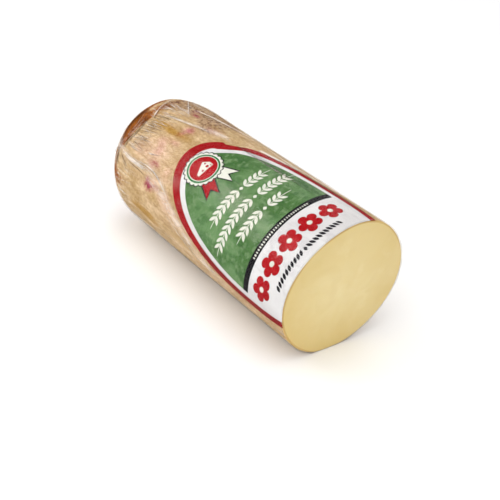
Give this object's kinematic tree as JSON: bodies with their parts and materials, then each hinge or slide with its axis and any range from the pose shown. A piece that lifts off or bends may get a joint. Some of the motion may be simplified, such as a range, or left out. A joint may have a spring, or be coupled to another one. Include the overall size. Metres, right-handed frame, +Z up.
{
  "type": "half provolone log",
  "caption": "Half log of smoked provolone cheese in clear shrink film with an arched paper label, cut square across to show its pale paste.",
  "frame": {"origin": "on the surface that the log lies on, under the middle of its bounding box", "axes": "+Z up, +Y along the log from the cut face to the rounded end, +X to the side away from the label"},
  "size_m": [0.131, 0.261, 0.1194],
  "materials": {
    "cheese": "pale yellow firm cheese on the cut, light tan smoked rind round it",
    "label": "glossy printed paper in green, white, red and black fields",
    "film": "clear tight shrink film with fine creases"
  },
  "bodies": {
    "root": {"cheese": "cheese", "label": "label", "film": "film"}
  },
  "joints": []
}
